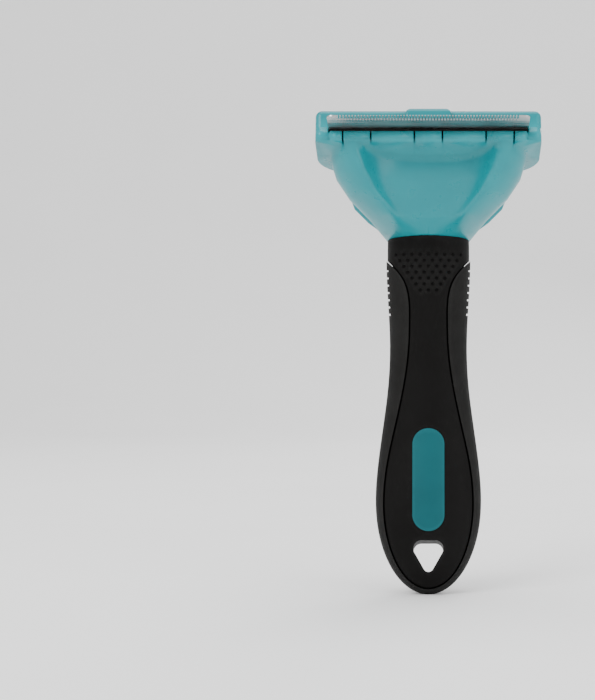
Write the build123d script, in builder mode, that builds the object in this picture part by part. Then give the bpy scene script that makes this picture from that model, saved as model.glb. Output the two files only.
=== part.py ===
from build123d import *
import os
from math import cos, radians, sin, sqrt

# Deshedding tool. Millimetres. +Z runs up the handle to the head, the teeth point to -Y, the thumb side is +Y,
# and the tool is symmetric about X = 0. The origin is the centre of the hang hole.

os.makedirs("parts", exist_ok=True)

# ---- Head ---------------------------------------------------------------------------------------------
# The head is set out on the parting plane between the cover and the head body: x across, v from the plate's
# bottom edge away from the teeth, w out through the cover.
head_lean = 15.0          # angle of the teeth above level, degrees
head_reach = 37.0         # from the plate's bottom edge to the handle's axis, along the plate
axis_meets_plate = 151.1  # height at which the handle's axis meets the parting plane
head_width = 77.0
plate_height = 31.0
body_plate_thickness = 4.7
cover_thickness = 6.5
side_draft = 0.5
top_corner_radius = 14.0
bottom_corner_radius = 2.0
cover_edge_radius = 2.2
scoop_width = 40.0
scoop_depth = 4.3
scoop_blend = 6.0
tab_width = 15.5
tab_drop = 2.1
tab_radius = 0.9
lip_width = 66.0
lip_proud = 1.2           # the lip stands this far past the plate's bottom edge
tongue_xs = (-24.0, 0.0, 24.0)
tongue_half = 4.7
slit_width = 0.6
slit_length = 2.6

# ---- Blade --------------------------------------------------------------------------------------------
blade_width = 67.0
blade_thickness = 1.0
blade_exposed = 11.5
blade_seated = 15.0
blade_side_gap = 0.15
tooth_pitch = 1.0
tooth_gap = 0.5
tooth_length = 3.45
tooth_count = 60
blade_corner_radius = 1.9
bright_band = 3.6         # flat band beside the cover, before the ground step
ground_step = 0.15
tip_thickness = 0.4

# ---- Pusher, button and return springs ----------------------------------------------------------------
ejector_travel = 9.0
pusher_thickness = 0.75
pusher_edge = -0.9        # v of the pusher's front edge at rest
pusher_back = 13.5
slide_gap = 0.1           # between flat sliding faces
button_width = 31.0
button_front = 25.5
button_back = 40.5        # v of the horns
button_dip = 2.5
horn_spacing = 18.8
button_shoulder = 5.5
button_rise = 1.0         # w of the button's face
button_clearance = 0.35
button_floor = -6.2
stem_width = 22.0         # middle stem of the pusher plate, clamped under the button
stem_back = 33.0
button_screw_v = 30.0
button_screw_spacing = 14.0
carriage_thickness = 2.6
wing_width = 38.0
wing_back = 28.7
lug_width = 20.0
lug_thickness = 2.0
lug_back = 39.8
spring_diameter = 5.0
spring_wire = 0.5
spring_turns = 8
spring_front = 22.0
rod_spacing = 12.0
rod_diameter = 2.4
rod_seat = 3.0
running_clearance = 0.05  # radial

# ---- Screws -------------------------------------------------------------------------------------------
thread_clearance = 0.05   # radial, between a screw and the plastic that it holds
cover_screw_spacing = 45.8
cover_screw_height = 11.6
cover_screw_diameter = 2.9
cover_screw_length = 12.0
cover_head_diameter = 6.5
cover_head_height = 2.0
counterbore_diameter = 7.6
counterbore_depth = 3.2
pass_clearance = 0.15     # radial, through the cover and the blade
boss_diameter = 6.0
boss_gap = 0.3
cross_length = 4.2
cross_width = 1.1
cross_depth = 1.2
cross_turn = 22.0
small_screw_diameter = 2.0
small_screw_length = 8.6
small_head_diameter = 3.6
small_head_height = 1.2

# ---- Handle, heights above the tail's lowest point ----------------------------------------------------
tail_height = 32.0        # the tail is a half ellipse this tall
bulb_width = 37.5
bulb_depth = 24.0
waist_at = 84.0
waist_width = 27.6
waist_depth = 20.6
rim_at = 124.8
rim_tilt = 6.0
collar_width = 30.4
collar_depth = 25.6
tail_bend = 10.0          # the tail's end stands this far towards the teeth's side of the handle's axis
bend_power = 1.8          # how late the bend sets in below the waist
hole_height = 13.0        # hang hole above the tail's lowest point
hole_width = 10.5
hole_top_radius = 2.8
hole_point_radius = 1.8
hole_rise = 2.2           # the two top corners' centres above the hole's centre
hole_drop = 4.0           # the point's centre below it
neck_step = 0.8           # the neck is this much smaller than the collar all round
rim_spare = 8.0           # the lofts run this far past the rim before they are cut

# ---- Handle skin --------------------------------------------------------------------------------------
strip_recess = 0.4        # the hard strips lie this far below the soft band
band_thickness = 2.2
shell_wall = 2.0
groove_width = 0.6
strip_waist_width = 13.2
strip_bulb_width = 31.4
strip_tail_inset = 2.6
band_below_rim = 7.8
rib_count = 7
rib_pitch = 2.6
ribs_below_rim = 26.3     # the lowest rib notch
rib_notch = 0.8
rib_depth = 0.7
dimple_rows = 7
dimple_first_row = 9
dimple_pitch = 2.9
dimple_row_pitch = 2.08
dimples_below_rim = 5.3   # the top row
dimple_radius = 0.6
dimple_depth = 0.5
inlay_width = 11.2
inlay_low = 23.0
inlay_high = 58.5
inlay_gap = 0.1
cavity_low = 24.0
handle_screw_spacing = 19.0
handle_screw_diameter = 2.6
handle_screw_length = 11.0
handle_head_diameter = 4.6
handle_head_height = 1.6
handle_boss_diameter = 6.4
tang_length = 26.0
tang_wall = 2.4
tang_gap = 0.1
tang_ring = 0.9
tang_ring_height = 4.0

# ---- Frames and sizes that follow ---------------------------------------------------------------------
far = 60.0                # longer than any cut needs to be
lean = radians(head_lean)
tail_z = -hole_height
axis_y = tail_bend * (1 - hole_height / waist_at) ** bend_power
axis_z = tail_z + axis_meets_plate
head = Plane(
    origin=(0, axis_y - head_reach * cos(lean), axis_z + head_reach * sin(lean)),
    x_dir=(1, 0, 0),
    z_dir=(0, sin(lean), cos(lean)),
)
head_side = Plane(origin=head.origin, x_dir=head.y_dir, z_dir=(1, 0, 0))
rim = Plane(
    origin=(0, axis_y, tail_z + rim_at),
    x_dir=(1, 0, 0),
    z_dir=(0, sin(radians(rim_tilt)), cos(radians(rim_tilt))),
)
inlay_centre = (inlay_low + inlay_high) / 2
handle_screw_heights = [inlay_centre + side * handle_screw_spacing / 2 for side in (-1, 1)]
slot_depth = blade_thickness + pusher_thickness + 2 * slide_gap
stem_floor = -slot_depth
seat_height = cover_thickness - counterbore_depth
screw_xs = (-cover_screw_spacing / 2, cover_screw_spacing / 2)
button_screw_xs = (-button_screw_spacing / 2, button_screw_spacing / 2)
rod_xs = (-rod_spacing / 2, rod_spacing / 2)
bay_front = button_front - ejector_travel - button_clearance
carriage_floor = button_floor - carriage_thickness
bay_floor = carriage_floor - 2 * slide_gap
rod_w = carriage_floor - button_clearance - spring_diameter / 2
lug_floor = rod_w - spring_diameter / 2
lug_front = lug_back - lug_thickness
rod_front = spring_front - rod_seat
rod_back = lug_back + button_clearance + rod_seat


# ---- Outlines, made flat and placed later by the plane of the sketch that adds them -------------------
def button_outline(front, grow=0.0):
    """Button face on: straight sides, two horns at the back and a scoop between them."""
    half = button_width / 2 + grow
    back = button_back + grow
    with BuildSketch() as outline:
        with BuildLine():
            Polyline(
                (0, front - grow),
                (half, front - grow),
                (half, back - button_shoulder),
            )
            Spline(
                (half, back - button_shoulder),
                (horn_spacing / 2, back),
                (0, back - button_dip),
                tangents=[(0, 1), (-1, 0)],
            )
            mirror(about=Plane.YZ)
        make_face()
    return outline.sketch


def draw_band(width, front, back):
    """In the open sketch, a rectangle across the middle line from v = front to v = back."""
    with Locations((0, (front + back) / 2)):
        Rectangle(width, back - front)


# Plate face on: big top corners, small bottom corners, sides drawn in towards the bottom.
with BuildSketch() as plate_outline:
    with BuildLine():
        Polyline(
            (side_draft - head_width / 2, 0),
            (head_width / 2 - side_draft, 0),
            (head_width / 2, plate_height),
            (-head_width / 2, plate_height),
            close=True,
        )
    make_face()
    fillet(plate_outline.vertices().group_by(Axis.Y)[0], bottom_corner_radius)
    fillet(plate_outline.vertices().group_by(Axis.Y)[-1], top_corner_radius)

button_face = button_outline(button_front)
button_window = button_outline(bay_front + button_clearance, button_clearance)

# ---- Front cover --------------------------------------------------------------------------------------
with BuildPart(head) as front_cover:
    with BuildSketch(head) as cover_face:
        add(plate_outline.sketch)
        scoop_radius = ((scoop_width / 2) ** 2 + scoop_depth**2) / (2 * scoop_depth)
        with Locations((0, plate_height - scoop_depth + scoop_radius)):
            Circle(scoop_radius, mode=Mode.SUBTRACT)
        scoop_ends = cover_face.vertices().group_by(Axis.Y)[-1].sort_by(lambda p: abs(p.X))[:2]
        fillet(scoop_ends, scoop_blend)
        RectangleRounded(tab_width, 2 * tab_drop, tab_radius)
    extrude(amount=cover_thickness)
    front_edges = front_cover.faces().sort_by(Axis(head.origin, head.z_dir))[-1].edges()
    fillet(front_edges, cover_edge_radius)
    with BuildSketch(head):
        add(button_window)
    extrude(amount=button_rise + slide_gap, mode=Mode.SUBTRACT)
    with Locations([(x, cover_screw_height, cover_thickness) for x in screw_xs]):
        CounterBoreHole(
            cover_screw_diameter / 2 + pass_clearance,
            counterbore_diameter / 2,
            counterbore_depth,
        )

# ---- Comb blade ---------------------------------------------------------------------------------------
with BuildPart(head) as comb_blade:
    with BuildSketch(head.offset(-blade_thickness)) as blade_face:
        draw_band(blade_width, -blade_exposed, blade_seated)
        fillet(blade_face.vertices().group_by(Axis.Y)[0], blade_corner_radius)
    extrude(amount=blade_thickness)
    with BuildSketch(head_side):
        with BuildLine():
            Polyline(
                (-bright_band, blade_thickness),
                (-bright_band, -ground_step),
                (-blade_exposed, tip_thickness - blade_thickness),
                (-2 * blade_exposed, tip_thickness - blade_thickness),
                (-2 * blade_exposed, blade_thickness),
                close=True,
            )
        make_face()
    extrude(amount=blade_width, both=True, mode=Mode.SUBTRACT)
    with Locations((0, -blade_exposed, 0)):
        with GridLocations(tooth_pitch, 1, tooth_count, 1):
            Box(tooth_gap, 2 * tooth_length, 3 * blade_thickness, mode=Mode.SUBTRACT)
    with Locations([(x, cover_screw_height, 0) for x in screw_xs]):
        Hole(cover_screw_diameter / 2 + pass_clearance)

# ---- Cover screws -------------------------------------------------------------------------------------
with BuildPart(head) as cover_screws:
    for x in screw_xs:
        with BuildSketch(head.offset(seat_height)):
            with Locations((x, cover_screw_height)):
                Circle(cover_head_diameter / 2)
        extrude(amount=cover_head_height)
        with BuildSketch(head.offset(seat_height)):
            with Locations((x, cover_screw_height)):
                Circle(cover_screw_diameter / 2)
        extrude(amount=-cover_screw_length)
    head_tops = cover_screws.faces().group_by(Axis(head.origin, head.z_dir))[-1]
    fillet(head_tops.edges(), 0.4 * cover_head_height)
    with BuildSketch(head.offset(seat_height + cover_head_height)):
        for turn in (cross_turn, cross_turn + 90):
            with Locations([Location((x, cover_screw_height, 0), turn) for x in screw_xs]):
                SlotOverall(cross_length, cross_width)
    extrude(amount=-cross_depth, mode=Mode.SUBTRACT)

# ---- Pusher plate -------------------------------------------------------------------------------------
notch_front = cover_screw_height - boss_diameter / 2 - boss_gap
with BuildPart(head) as pusher_plate:
    with BuildSketch(head.offset(stem_floor + slide_gap)) as pusher_face:
        draw_band(lip_width, pusher_edge, pusher_back)
        draw_band(stem_width, pusher_edge, stem_back)
        with Locations([(x, notch_front + far / 2) for x in screw_xs]):
            Rectangle(boss_diameter + 2 * boss_gap, far, mode=Mode.SUBTRACT)
        with Locations([(x, button_screw_v) for x in button_screw_xs]):
            Circle(small_screw_diameter / 2 + thread_clearance, mode=Mode.SUBTRACT)
    extrude(amount=pusher_thickness)

# ---- Ejector button -----------------------------------------------------------------------------------
with BuildPart(head) as ejector_button:
    with BuildSketch(head.offset(button_floor)):
        add(button_face)
    extrude(amount=button_rise - button_floor)
    face_edges = ejector_button.faces().sort_by(Axis(head.origin, head.z_dir))[-1].edges()
    fillet(face_edges, 0.6)
    with BuildSketch(head.offset(stem_floor + slide_gap / 2)):
        draw_band(stem_width + slide_gap, 0, stem_back + slide_gap)
    extrude(amount=pusher_thickness + slide_gap, mode=Mode.SUBTRACT)
    with BuildSketch(head.offset(button_floor)):
        with Locations([(x, button_screw_v) for x in button_screw_xs]):
            Circle(small_screw_diameter / 2 + thread_clearance)
    extrude(amount=small_screw_length - carriage_thickness + thread_clearance, mode=Mode.SUBTRACT)

# ---- Button carriage ----------------------------------------------------------------------------------
with BuildPart(head) as button_carriage:
    with BuildSketch(head.offset(carriage_floor)):
        draw_band(button_width, button_front, button_back - button_shoulder)
        draw_band(lug_width, button_front, lug_back)
    extrude(amount=carriage_thickness)
    with BuildSketch(head.offset(carriage_floor)):
        draw_band(wing_width, button_front, wing_back)
    extrude(amount=-slide_gap - carriage_floor)
    with BuildSketch(head.offset(button_floor)):
        draw_band(button_width + 2 * slide_gap, 0, button_back)
    extrude(amount=far, mode=Mode.SUBTRACT)
    with BuildSketch(head.offset(lug_floor)):
        draw_band(lug_width, lug_front, lug_back)
    extrude(amount=carriage_floor - lug_floor)
    for x in rod_xs:
        with Locations((x, lug_back, rod_w)):
            Cylinder(
                rod_diameter / 2 + running_clearance,
                4 * lug_thickness,
                rotation=(90, 0, 0),
                mode=Mode.SUBTRACT,
            )
    for x in button_screw_xs:
        with Locations((x, button_screw_v, carriage_floor)):
            Cylinder(
                small_screw_diameter / 2 + thread_clearance,
                4 * carriage_thickness,
                mode=Mode.SUBTRACT,
            )
            Cylinder(
                small_head_diameter / 2 + thread_clearance,
                2 * small_head_height,
                mode=Mode.SUBTRACT,
            )

# ---- Button screws ------------------------------------------------------------------------------------
with BuildPart(head) as button_screws:
    for x in button_screw_xs:
        with Locations((x, button_screw_v, carriage_floor)):
            Cylinder(
                small_head_diameter / 2,
                small_head_height,
                align=(Align.CENTER, Align.CENTER, Align.MIN),
            )
            Cylinder(
                small_screw_diameter / 2,
                small_screw_length,
                align=(Align.CENTER, Align.CENTER, Align.MIN),
            )

# ---- Guide rods and return springs --------------------------------------------------------------------
with BuildPart(head) as guide_rods:
    for x in rod_xs:
        with Locations((x, rod_front, rod_w)):
            Cylinder(
                rod_diameter / 2,
                rod_back - rod_front,
                rotation=(-90, 0, 0),
                align=(Align.CENTER, Align.CENTER, Align.MIN),
            )

spring_room = lug_front - spring_front - spring_wire - 2 * slide_gap
return_springs = {}
for side, x in zip(("left", "right"), rod_xs):
    first_turn = head.from_local_coords((x, spring_front + slide_gap + spring_wire / 2, rod_w))
    with BuildPart() as spring:
        with BuildLine() as coil:
            Helix(
                spring_room / spring_turns,
                spring_room,
                (spring_diameter - spring_wire) / 2,
                center=first_turn,
                direction=head.y_dir,
            )
        with BuildSketch(Plane(origin=coil.line @ 0, z_dir=coil.line % 0)):
            Circle(spring_wire / 2)
        sweep(is_frenet=True)
    return_springs[side] = spring

# ---- Handle solids that the shells, the band and the inlay are cut from -------------------------------
def bend_at(height):
    """Y of the handle's middle at a height above the tail."""
    return axis_y - tail_bend * max(0.0, 1 - height / waist_at) ** bend_power


def half_size(height, inset=0.0):
    """Half width and half depth of the handle at a height, drawn in by inset."""
    if height < tail_height:
        share = sqrt(max(0.0, 1 - ((tail_height - height) / (tail_height - inset)) ** 2))
        return (bulb_width / 2 - inset) * share, (bulb_depth / 2 - inset) * share
    if height < waist_at:
        along = (height - tail_height) / (waist_at - tail_height)
        low, high = (bulb_width, bulb_depth), (waist_width, waist_depth)
    else:
        along = min(1.0, (height - waist_at) / (rim_at - waist_at))
        low, high = (waist_width, waist_depth), (collar_width, collar_depth)
    blend = along * along * (3 - 2 * along)
    wide, deep = (a + (b - a) * blend for a, b in zip(low, high))
    return wide / 2 - inset, deep / 2 - inset


def ring_heights(inset):
    """Heights of the handle's rings: close together round the tail's end, then evenly up to the rim."""
    rise = tail_height - inset
    tail = [tail_height - rise * cos(radians(angle)) for angle in (6, 14, 24, 36, 50, 68, 90)]
    bulb = [tail_height + share * (waist_at - tail_height) for share in (0.3, 0.6, 1)]
    neck = [waist_at + share * (rim_at - waist_at) for share in (0.4, 0.75)]
    return tail + bulb + neck + [rim_at + rim_spare]


def grip_solid(inset, low=0.0):
    """The handle drawn in by inset, from the height low up to the rim."""
    with BuildPart() as solid:
        for height in ring_heights(inset):
            half_width, half_depth = half_size(height, inset)
            if height >= low:
                with BuildSketch(Plane((0, bend_at(height), tail_z + height))):
                    Ellipse(half_depth, half_width, rotation=90)
        loft()
        split(bisect_by=rim, keep=Keep.BOTTOM)
    return solid.part


def strip_outline(grow):
    """Hard strip from the front: flares out below the collar, narrow at the waist, round at the tail."""
    half_waist = strip_waist_width / 2 + grow
    half_bulb = strip_bulb_width / 2 + grow
    flare = collar_width / 2 + grow
    middle = tail_z + tail_height
    top = tail_z + rim_at - band_below_rim
    with BuildSketch() as outline:
        with BuildLine():
            EllipticalCenterArc(
                (0, middle),
                half_bulb,
                tail_height - strip_tail_inset + grow,
                start_angle=180,
                arc_size=180,
            )
            for side in (1, -1):
                Spline(
                    (side * half_bulb, middle),
                    (side * (half_waist * 0.42 + half_bulb * 0.58), tail_z + (tail_height + waist_at) / 2),
                    (side * (half_waist + 0.3), tail_z + waist_at + 3),
                    (side * half_waist, tail_z + waist_at + 13),
                    (side * (half_waist + 2.4), top - 6),
                    (side * flare, top + 1),
                    tangents=[(0, 1), (side, 0.9)],
                )
            Polyline(
                (flare, top + 1),
                (far, top + far),
                (-far, top + far),
                (-flare, top + 1),
            )
        make_face()
    return outline.sketch


grip_outside = grip_solid(0)
grip_strips = grip_solid(strip_recess)
grip_core = grip_solid(band_thickness)
grip_cavity = grip_solid(band_thickness + shell_wall, cavity_low)
shell_strip = strip_outline(-groove_width / 2)
band_strip = strip_outline(groove_width / 2)

# The shells meet on a plane from the collar's middle to the middle of the tail at the hang hole.
parting = Plane(
    origin=(0, 0, 0),
    x_dir=(1, 0, 0),
    z_dir=(0, rim_at - hole_height, -axis_y),
)

# ---- Hang hole, square to the bent tail ---------------------------------------------------------------
tail_slope = (bend_at(hole_height - 1) - bend_at(hole_height + 1)) / 2
hole_plane = Plane(origin=(0, 0, 0), x_dir=(1, 0, 0), z_dir=(0, -1, -tail_slope))
with BuildPart() as hang_hole:
    with BuildSketch(hole_plane):
        with Locations(*[(side * (hole_width / 2 - hole_top_radius), hole_rise) for side in (-1, 1)]):
            Circle(hole_top_radius)
        with Locations((0, -hole_drop)):
            Circle(hole_point_radius)
        make_hull()
    extrude(amount=far, both=True)

# ---- Tang, with a groove that a ring inside the shells fills ------------------------------------------
tang_half_width, tang_half_depth = half_size(
    rim_at - tang_length, band_thickness + shell_wall + tang_gap
)
tang_low = tail_z + rim_at - tang_length
ring_low = tang_low + tang_ring_height
with BuildPart() as tang:
    with BuildSketch(Plane((0, axis_y, tang_low))):
        Ellipse(tang_half_width, tang_half_depth)
    extrude(amount=tang_length + neck_step)
    with BuildSketch(Plane((0, axis_y, tang_low))):
        Ellipse(tang_half_width - tang_wall, tang_half_depth - tang_wall)
    extrude(amount=tang_length - tang_wall, mode=Mode.SUBTRACT)
    with BuildSketch(Plane((0, axis_y, ring_low))):
        Ellipse(far, far)
        Ellipse(tang_half_width - tang_ring, tang_half_depth - tang_ring, mode=Mode.SUBTRACT)
    extrude(amount=tang_ring_height, mode=Mode.SUBTRACT)

# ---- Handle shells ------------------------------------------------------------------------------------
# Room inside the handle, less the screw bosses and the ring that locks the tang.
with BuildPart() as handle_room:
    add(grip_cavity)
    for height in handle_screw_heights:
        with Locations((0, 0, tail_z + height)):
            Cylinder(
                handle_boss_diameter / 2,
                2 * far,
                rotation=(90, 0, 0),
                mode=Mode.SUBTRACT,
            )
    with BuildSketch(Plane((0, axis_y, ring_low + tang_gap))):
        Ellipse(collar_width, collar_depth)
        Ellipse(
            tang_half_width - tang_ring + tang_gap,
            tang_half_depth - tang_ring + tang_gap,
            mode=Mode.SUBTRACT,
        )
    extrude(amount=tang_ring_height - 2 * tang_gap, mode=Mode.SUBTRACT)

with BuildPart() as shell_blank:
    with BuildSketch(Plane.XZ):
        add(shell_strip)
    extrude(amount=far, both=True)
    add(grip_strips, mode=Mode.INTERSECT)
    add(grip_core)
    add(handle_room.part, mode=Mode.SUBTRACT)
    add(hang_hole.part, mode=Mode.SUBTRACT)

inlay_middle = tail_z + inlay_centre
inlay_length = inlay_high - inlay_low
with BuildPart() as inlay_prism:
    with BuildSketch(Plane.XZ):
        with Locations((0, inlay_middle)):
            SlotOverall(inlay_length, inlay_width, rotation=90)
    extrude(amount=far)

with BuildPart() as inlay_pocket:
    with BuildSketch(Plane.XZ):
        with Locations((0, inlay_middle)):
            SlotOverall(inlay_length + 2 * inlay_gap, inlay_width + 2 * inlay_gap, rotation=90)
    extrude(amount=far)
    add(grip_core, mode=Mode.SUBTRACT)

head_seat = band_thickness + handle_head_height + 5 * inlay_gap
with BuildPart() as handle_screws:
    for height in handle_screw_heights:
        middle = tail_z + height
        front = bend_at(height) - half_size(height)[1] + head_seat
        with BuildSketch(Plane.XZ.offset(-front)):
            with Locations((0, middle)):
                Circle(handle_head_diameter / 2)
        extrude(amount=handle_head_height)
        with BuildSketch(Plane.XZ.offset(-front)):
            with Locations((0, middle)):
                Circle(handle_screw_diameter / 2)
        extrude(amount=-handle_screw_length)

with BuildPart() as screw_holes:
    for height in handle_screw_heights:
        middle = tail_z + height
        front = bend_at(height) - half_size(height)[1] + head_seat
        with BuildSketch(Plane.XZ.offset(-front)):
            with Locations((0, middle)):
                Circle(handle_head_diameter / 2 + thread_clearance)
        extrude(amount=far)
        with BuildSketch(Plane.XZ.offset(-front)):
            with Locations((0, middle)):
                Circle(handle_screw_diameter / 2 + thread_clearance)
        extrude(amount=-handle_screw_length - thread_clearance)

with BuildPart() as dimples:
    for row in range(dimple_rows):
        height = rim_at - dimples_below_rim - row * dimple_row_pitch
        count = dimple_first_row - row
        for place in range(count):
            across = (place - (count - 1) / 2) * dimple_pitch
            half_width, half_depth = half_size(height, strip_recess)
            depth = half_depth * sqrt(1 - (across / half_width) ** 2)
            with Locations((across, bend_at(height) - depth, tail_z + height)):
                Cylinder(dimple_radius, 2 * dimple_depth, rotation=(90, 0, 0))

with BuildPart() as handle_shell_thumb:
    add(shell_blank.part)
    split(bisect_by=parting, keep=Keep.TOP)
    add(screw_holes.part, mode=Mode.SUBTRACT)

with BuildPart() as handle_shell_under:
    add(shell_blank.part)
    split(bisect_by=parting, keep=Keep.BOTTOM)
    add(inlay_pocket.part, mode=Mode.SUBTRACT)
    add(screw_holes.part, mode=Mode.SUBTRACT)
    add(dimples.part, mode=Mode.SUBTRACT)

with BuildPart() as grip_inlay:
    add(grip_strips)
    add(inlay_prism.part, mode=Mode.INTERSECT)
    add(grip_core, mode=Mode.SUBTRACT)

# ---- Soft band ----------------------------------------------------------------------------------------
with BuildPart() as band_window:
    with BuildSketch(Plane.XZ):
        add(band_strip)
    extrude(amount=far, both=True)

with BuildPart() as side_grip:
    add(grip_outside)
    add(grip_core, mode=Mode.SUBTRACT)
    add(band_window.part, mode=Mode.SUBTRACT)
    for notch in range(rib_count):
        height = rim_at - ribs_below_rim + notch * rib_pitch
        edge = half_size(height)[0]
        with Locations([(side * edge, bend_at(height), tail_z + height) for side in (-1, 1)]):
            Box(2 * rib_depth, far, rib_notch, mode=Mode.SUBTRACT)

# ---- Head body ----------------------------------------------------------------------------------------
neck_half_width = collar_width / 2 - neck_step
neck_half_depth = collar_depth / 2 - neck_step


def neck_ellipse():
    """Right half of the neck where it leaves the collar, at the angles that the rings above follow."""
    angles = (-90, -50, -10, 25, 58, 90)
    return [
        (neck_half_width * cos(radians(a)), neck_half_depth * sin(radians(a))) for a in angles
    ]


# Right half of each ring of the neck, from the collar to the plate, in the order valley, lobe, side,
# flank, shoulder and crown.
# Each ring lies on a plane that leans by its tilt, at its share of the way up the axis from the rim to
# the plate, and its points are measured from the axis.
neck_rings = [
    (0.0, rim_tilt, neck_ellipse()),
    (0.171, 9, [(0, -17.6), (12.5, -22.6), (19.6, -15.1), (17.5, -4.6), (12.4, 6.9), (0, 11.8)]),
    (0.350, 12, [(0, -21.4), (18.5, -30.4), (27.0, -22.9), (22.0, -9.4), (14.5, 4.6), (0, 11.2)]),
    (0.532, 14, [(0, -24.2), (22.0, -35.4), (31.2, -26.7), (25.0, -11.7), (16.2, 2.8), (0, 9.8)]),
    (0.700, 15, [(0, -25.2), (23.6, -37.0), (32.7, -28.5), (26.8, -13.5), (17.6, 0.8), (0, 7.8)]),
    (0.829, 15, [(0, -25.0), (24.0, -37.2), (33.0, -29.2), (27.8, -14.2), (18.8, -0.6), (0, 5.6)]),
    (0.920, 15, [(0, -24.0), (24.0, -36.2), (33.0, -28.5), (28.5, -15.0), (20.4, -2.3), (0, 2.4)]),
    (0.977, 15, [(0, -23.0), (24.0, -35.0), (33.0, -28.0), (28.5, -16.0), (20.8, -5.4), (0, -2.6)]),
]


def ring_wire(plane, ring):
    """Closed wire through a ring: its right half as one smooth curve, and that curve's mirror image."""
    points = [plane.from_local_coords((x, y, 0)) for x, y in ring]
    right = Edge.make_spline(
        points,
        tangents=[plane.x_dir, -plane.x_dir],
        parameters=list(range(len(points))),
    )
    return Wire([right, right.mirror(Plane.YZ)])


neck_faces = []
for share, tilt, ring in neck_rings:
    ring_plane = Plane(
        origin=(0, axis_y, tail_z + rim_at + share * (axis_meets_plate - rim_at)),
        x_dir=(1, 0, 0),
        z_dir=(0, sin(radians(tilt)), cos(radians(tilt))),
    )
    neck_faces.append(Face(ring_wire(ring_plane, ring)))

with BuildPart(head) as head_bores:
    for x in rod_xs:
        with Locations((x, rod_front, rod_w)):
            Cylinder(
                rod_diameter / 2 + thread_clearance,
                rod_back - rod_front,
                rotation=(-90, 0, 0),
                align=(Align.CENTER, Align.CENTER, Align.MIN),
            )
    for x in screw_xs:
        with Locations((x, cover_screw_height, seat_height)):
            Cylinder(
                cover_screw_diameter / 2 + thread_clearance,
                cover_screw_length + 2 * thread_clearance,
                align=(Align.CENTER, Align.CENTER, Align.MAX),
            )
    # Slits that free three tongues in the lip
    for x in tongue_xs:
        for side in (-1, 1):
            with Locations((x + side * tongue_half, 0, -body_plate_thickness)):
                Box(slit_width, 2 * slit_length, 2 * body_plate_thickness)

with BuildPart() as head_body:
    loft(sections=neck_faces, ruled=True)
    # Plate and lip
    with BuildSketch(head.offset(-body_plate_thickness)):
        add(plate_outline.sketch)
    extrude(amount=body_plate_thickness)
    with BuildSketch(head.offset(-body_plate_thickness)):
        draw_band(lip_width, -lip_proud, plate_height / 2)
    extrude(amount=body_plate_thickness - slot_depth)
    # Seat for the blade, slot for the pusher
    with BuildSketch(head.offset(-blade_thickness)):
        draw_band(blade_width + 2 * blade_side_gap, -far, blade_seated + blade_side_gap)
    extrude(amount=far, mode=Mode.SUBTRACT)
    with BuildSketch(head.offset(stem_floor)):
        draw_band(blade_width + 2 * blade_side_gap, -far, pusher_back + boss_gap)
        draw_band(stem_width + 2 * boss_gap, 0, button_front)
        with Locations([(x, cover_screw_height) for x in screw_xs]):
            Circle(boss_diameter / 2, mode=Mode.SUBTRACT)
    extrude(amount=slot_depth - blade_thickness, mode=Mode.SUBTRACT)
    with BuildSketch(head.offset(stem_floor)):
        draw_band(stem_width + 2 * boss_gap, blade_seated, button_front)
    extrude(amount=slot_depth, mode=Mode.SUBTRACT)
    # Button window and the bay that the carriage slides in
    with BuildSketch(head.offset(bay_floor)):
        add(button_window)
    extrude(amount=far, mode=Mode.SUBTRACT)
    with BuildSketch(head.offset(bay_floor)):
        draw_band(wing_width + 2 * button_clearance, bay_front, wing_back + button_clearance)
    extrude(amount=far, mode=Mode.SUBTRACT)
    with BuildSketch(head.offset(lug_floor - button_clearance)):
        draw_band(lug_width + 2 * button_clearance, spring_front, lug_back + button_clearance)
    extrude(amount=button_floor + slide_gap - lug_floor + button_clearance, mode=Mode.SUBTRACT)
    add(head_bores.part, mode=Mode.SUBTRACT)
    add(tang.part)

pieces = {
    "front_cover": front_cover,
    "comb_blade": comb_blade,
    "cover_screws": cover_screws,
    "pusher_plate": pusher_plate,
    "ejector_button": ejector_button,
    "button_carriage": button_carriage,
    "button_screws": button_screws,
    "guide_rods": guide_rods,
    "return_spring_left": return_springs["left"],
    "return_spring_right": return_springs["right"],
    "head_body": head_body,
    "handle_shell_thumb": handle_shell_thumb,
    "handle_shell_under": handle_shell_under,
    "handle_screws": handle_screws,
    "grip_inlay": grip_inlay,
    "side_grip": side_grip,
}
for name, piece in pieces.items():
    piece.part.label = name
    export_step(piece.part, f"parts/{name}.step")
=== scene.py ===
from math import cos, radians, sin

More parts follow.
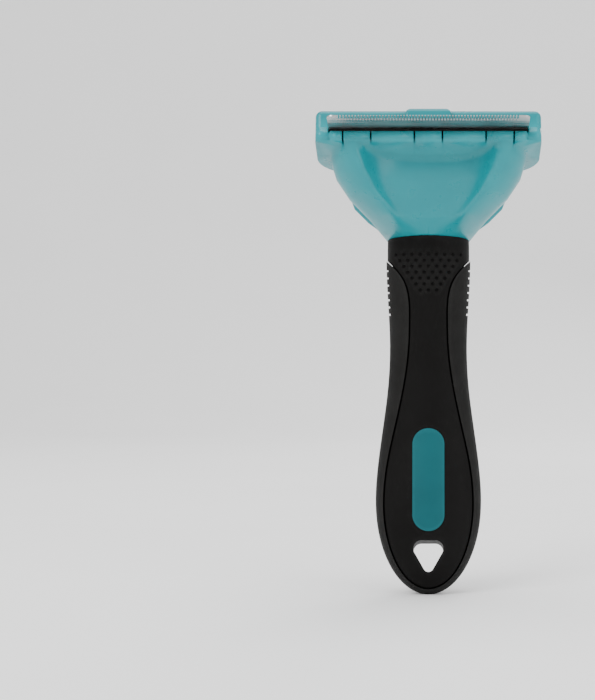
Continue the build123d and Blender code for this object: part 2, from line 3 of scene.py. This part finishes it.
import bmesh
import bpy
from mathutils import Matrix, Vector


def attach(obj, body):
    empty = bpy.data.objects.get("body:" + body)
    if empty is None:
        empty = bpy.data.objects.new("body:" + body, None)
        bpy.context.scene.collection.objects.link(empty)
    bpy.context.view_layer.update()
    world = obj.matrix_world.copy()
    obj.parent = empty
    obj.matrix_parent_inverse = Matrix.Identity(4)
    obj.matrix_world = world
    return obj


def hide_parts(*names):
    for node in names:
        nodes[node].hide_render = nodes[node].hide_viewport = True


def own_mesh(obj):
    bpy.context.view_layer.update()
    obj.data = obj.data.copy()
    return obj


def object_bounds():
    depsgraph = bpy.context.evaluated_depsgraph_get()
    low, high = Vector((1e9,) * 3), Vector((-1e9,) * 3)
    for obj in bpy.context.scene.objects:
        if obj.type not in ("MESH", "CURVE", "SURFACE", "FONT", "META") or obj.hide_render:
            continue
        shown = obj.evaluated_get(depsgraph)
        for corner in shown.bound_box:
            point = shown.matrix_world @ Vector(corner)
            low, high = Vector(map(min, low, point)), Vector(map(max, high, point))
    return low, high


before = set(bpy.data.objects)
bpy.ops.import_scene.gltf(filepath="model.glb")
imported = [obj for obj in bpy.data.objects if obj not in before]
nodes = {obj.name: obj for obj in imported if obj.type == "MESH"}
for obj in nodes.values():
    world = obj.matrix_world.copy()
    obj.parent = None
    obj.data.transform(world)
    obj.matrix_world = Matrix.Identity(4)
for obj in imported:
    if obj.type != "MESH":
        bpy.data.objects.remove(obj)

cad_low, cad_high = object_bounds()
middle = (cad_low + cad_high) / 2

# ---- Materials -------------------------------------------------------------------------------
# Noise scales are in cells per metre, and bump distances in metres.
# Painted edge highlight: the pointiness where it starts and ends, its strength, and how much the light
# colour is brightened for it.
edge_start, edge_end = 0.52, 0.62
edge_amount = 0.35
edge_gain = 1.5
edge_lift = 0.01

mottle_scale = 60
gloss_scale = 220
grain_detail = 2.0
grain_strength = 0.35
coat_roughness = 0.12

scratch_scale = 900
scratch_detail = 6.0
scratch_strength = 0.2
scratch_depth = 0.00002
scratch_shade = 0.86
steel_warmth = 0.985
steel_roughness = (0.24, 0.4)


def grey(level):
    """One level in all three channels."""
    return (level,) * 3


class Look:
    """A node material with a Principled shader, built up layer by layer."""

    def __init__(self, name, **sockets):
        self.material = bpy.data.materials.new(name)
        self.material.use_nodes = True
        self.tree = self.material.node_tree
        self.shader = self.tree.nodes["Principled BSDF"]
        self.place = self.add("ShaderNodeTexCoord").outputs["Object"]
        for socket, value in sockets.items():
            self.shader.inputs[socket.replace("_", " ")].default_value = value

    def add(self, kind):
        return self.tree.nodes.new(kind)

    def noise(self, scale, detail=4.0, stretch=(1, 1, 1)):
        """Noise in the object's own metres, stretched along an axis where stretch is small."""
        mapping = self.add("ShaderNodeMapping")
        mapping.inputs["Scale"].default_value = stretch
        self.tree.links.new(self.place, mapping.inputs["Vector"])
        noise = self.add("ShaderNodeTexNoise")
        noise.inputs["Scale"].default_value = scale
        noise.inputs["Detail"].default_value = detail
        self.tree.links.new(mapping.outputs["Vector"], noise.inputs["Vector"])
        return noise.outputs["Fac"]

    def ramp(self, factor, low, high, start=0.3, end=0.7):
        """Colours or greys from low to high as factor goes from start to end."""
        ramp = self.add("ShaderNodeValToRGB")
        for element, place, colour in zip(ramp.color_ramp.elements, (start, end), (low, high)):
            element.position = place
            element.color = (*colour, 1)
        self.tree.links.new(factor, ramp.inputs["Fac"])
        return ramp.outputs["Color"]

    def drive(self, socket, output):
        self.tree.links.new(output, self.shader.inputs[socket])

    def painted_edge_highlight(self, colour, bright, amount):
        """Painted highlight: edges that stand out are made lighter, after the mesh's own pointiness,
        which is 0.5 where flat.
        """
        pointiness = self.add("ShaderNodeNewGeometry").outputs["Pointiness"]
        edge = self.ramp(pointiness, grey(0), grey(amount), edge_start, edge_end)
        mix = self.add("ShaderNodeMixRGB")
        self.tree.links.new(edge, mix.inputs["Fac"])
        self.tree.links.new(colour, mix.inputs["Color1"])
        mix.inputs["Color2"].default_value = (*bright, 1)
        return mix.outputs["Color"]

    def bump(self, height, strength, distance):
        bump = self.add("ShaderNodeBump")
        bump.inputs["Strength"].default_value = strength
        bump.inputs["Distance"].default_value = distance
        self.tree.links.new(height, bump.inputs["Height"])
        self.tree.links.new(bump.outputs["Normal"], self.shader.inputs["Normal"])


def plastic(name, dark, light, rough, grain, grain_height, shine=0.5, coat=0.0):
    """Moulded plastic: slightly uneven colour and gloss, fine grain, and a painted highlight on edges
    that stand out.
    """
    look = Look(name, Specular_IOR_Level=shine, Coat_Weight=coat, Coat_Roughness=coat_roughness)
    colour = look.ramp(look.noise(mottle_scale), dark, light)
    # Painted highlight colour: the light colour brightened, for edges that stand out.
    bright = tuple(min(1.0, edge_gain * channel + edge_lift) for channel in light)
    look.drive("Base Color", look.painted_edge_highlight(colour, bright, edge_amount))
    glossy, dull = rough
    look.drive("Roughness", look.ramp(look.noise(gloss_scale), grey(glossy), grey(dull)))
    look.bump(look.noise(grain, grain_detail), grain_strength, grain_height)
    return look.material


def steel(name, stretch, tint=0.56):
    """Ground steel: fine scratches along one axis in colour, gloss and height."""
    look = Look(name, Metallic=1.0)
    scratches = look.noise(scratch_scale, scratch_detail, stretch)
    bright = (tint, tint * steel_warmth, tint * steel_warmth)
    dark = tuple(scratch_shade * channel for channel in bright)
    look.drive("Base Color", look.ramp(scratches, dark, bright))
    glossy, dull = steel_roughness
    look.drive("Roughness", look.ramp(scratches, grey(glossy), grey(dull)))
    look.bump(scratches, scratch_strength, scratch_depth)
    return look.material


teal = plastic(
    "teal_shell", dark=(0.0, 0.195, 0.225), light=(0.001, 0.23, 0.262),
    rough=(0.26, 0.36), grain=2600, grain_height=0.00001, shine=0.3, coat=0.08,
)
teal_satin = plastic(
    "teal_inlay", dark=(0.0, 0.075, 0.09), light=(0.0, 0.09, 0.105),
    rough=(0.45, 0.55), grain=3200, grain_height=0.00002, shine=0.2,
)
hard_black = plastic(
    "hard_black", dark=(0.003, 0.0027, 0.0025), light=(0.0045, 0.0042, 0.004),
    rough=(0.5, 0.6), grain=4200, grain_height=0.00003, shine=0.08,
)
soft_black = plastic(
    "soft_black", dark=(0.006, 0.0058, 0.0054), light=(0.009, 0.0087, 0.0082),
    rough=(0.62, 0.74), grain=5200, grain_height=0.00005, shine=0.14,
)
button_black = plastic(
    "button_black", dark=(0.009, 0.0085, 0.011), light=(0.012, 0.0115, 0.014),
    rough=(0.4, 0.5), grain=4200, grain_height=0.00002, shine=0.2,
)
blade_steel = steel("blade_steel", stretch=(0.04, 1, 1))
screw_steel = steel("screw_steel", stretch=(1, 0.2, 1), tint=0.5)
rod_steel = steel("rod_steel", stretch=(1, 0.05, 0.05), tint=0.5)

node_looks = {
    "front_cover": teal,
    "head_body": teal,
    "grip_inlay": teal_satin,
    "handle_shell_thumb": hard_black,
    "handle_shell_under": hard_black,
    "side_grip": soft_black,
    "pusher_plate": hard_black,
    "button_carriage": hard_black,
    "ejector_button": button_black,
    "comb_blade": blade_steel,
    "cover_screws": screw_steel,
    "button_screws": screw_steel,
    "handle_screws": screw_steel,
    "guide_rods": rod_steel,
    "return_spring_left": rod_steel,
    "return_spring_right": rod_steel,
}
for name, look in node_looks.items():
    nodes[name].data.materials.clear()
    nodes[name].data.materials.append(look)

# ---- Head moulding: the CAD head welded, with its soft neck shaded as one fair surface -------
weld_distance = 0.000005
crease = radians(50)
head_mesh = nodes["head_body"].data.copy()
head_mesh.name = "head_moulding"
welded = bmesh.new()
welded.from_mesh(head_mesh)
bmesh.ops.remove_doubles(welded, verts=welded.verts, dist=weld_distance)
welded.to_mesh(head_mesh)
welded.free()
head_mesh.shade_smooth()
head_mesh.set_sharp_from_angle(angle=crease)
head_moulding = bpy.data.objects.new("head_moulding", head_mesh)
bpy.context.scene.collection.objects.link(head_moulding)
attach(head_moulding, "tool")
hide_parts("head_body")

# ---- Return coils: copies of the CAD springs, carried with the tool --------------------------
for side in ("left", "right"):
    coil = bpy.data.objects.new(f"coil_{side}", nodes[f"return_spring_{side}"].data.copy())
    bpy.context.scene.collection.objects.link(coil)
    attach(coil, "tool")
    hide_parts(f"return_spring_{side}")
    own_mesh(coil)

# ---- Floor that sweeps up into a backdrop behind the tool ------------------------------------
stage_size = 3.0
bend_start = 1.0
bend_radius = 0.5
bend_steps = 16
profile = [(-stage_size, 0.0), (bend_start, 0.0)]
for step in range(1, bend_steps + 1):
    turn = radians(90 * step / bend_steps)
    profile.append((bend_start + bend_radius * sin(turn), bend_radius * (1 - cos(turn))))
profile.append((bend_start + bend_radius, stage_size))

sweep_mesh = bmesh.new()
rows = [
    [sweep_mesh.verts.new((x, y, cad_low.z + z)) for x in (-stage_size, stage_size)] for y, z in profile
]
for lower, upper in zip(rows, rows[1:]):
    sweep_mesh.faces.new((lower[0], lower[1], upper[1], upper[0]))
floor_mesh = bpy.data.meshes.new("floor")
sweep_mesh.to_mesh(floor_mesh)
sweep_mesh.free()
for face in floor_mesh.polygons:
    face.use_smooth = True
floor = bpy.data.objects.new("floor", floor_mesh)
bpy.context.scene.collection.objects.link(floor)
paper_scale = 8
paper_dark, paper_light = 0.93, 0.95
paper = Look("paper", Roughness=0.9)
paper.drive("Base Color", paper.ramp(paper.noise(paper_scale), grey(paper_dark), grey(paper_light)))
floor.data.materials.append(paper.material)


# ---- Light -----------------------------------------------------------------------------------
def soft_light(name, offset, size, power):
    """Square light that faces the tool's middle from an offset, in metres and watts."""
    lamp = bpy.data.lights.new(name, "AREA")
    lamp.size = size
    lamp.energy = power
    holder = bpy.data.objects.new(name, lamp)
    holder.location = middle + Vector(offset)
    holder.rotation_euler = (-Vector(offset)).to_track_quat("-Z", "Y").to_euler()
    bpy.context.scene.collection.objects.link(holder)


soft_light("key", offset=(-0.7, -0.8, 0.8), size=0.7, power=11)
soft_light("fill", offset=(0.9, -0.7, 0.3), size=0.8, power=5)
soft_light("top", offset=(0.0, 0.1, 1.2), size=0.8, power=8)
soft_light("back", offset=(0.4, 1.0, 0.6), size=0.6, power=5)

world_strength = 0.9
world = bpy.data.worlds.new("studio")
world.use_nodes = True
background = world.node_tree.nodes["Background"]
background.inputs["Color"].default_value = (1, 1, 1, 1)
background.inputs["Strength"].default_value = world_strength
bpy.context.scene.world = world

# ---- Camera: level with the upper handle, facing the teeth's side, tool right of the middle --
camera_distance = 0.55
camera_height = 0.0729
camera_lens = 81.5
camera_shift = -0.187
camera_data = bpy.data.cameras.new("camera")
camera_data.lens = camera_lens
camera_data.shift_x = camera_shift
camera = bpy.data.objects.new("camera", camera_data)
camera.location = (0, middle.y - camera_distance, camera_height)
camera.rotation_euler = (radians(90), 0, 0)
bpy.context.scene.collection.objects.link(camera)
bpy.context.scene.camera = camera
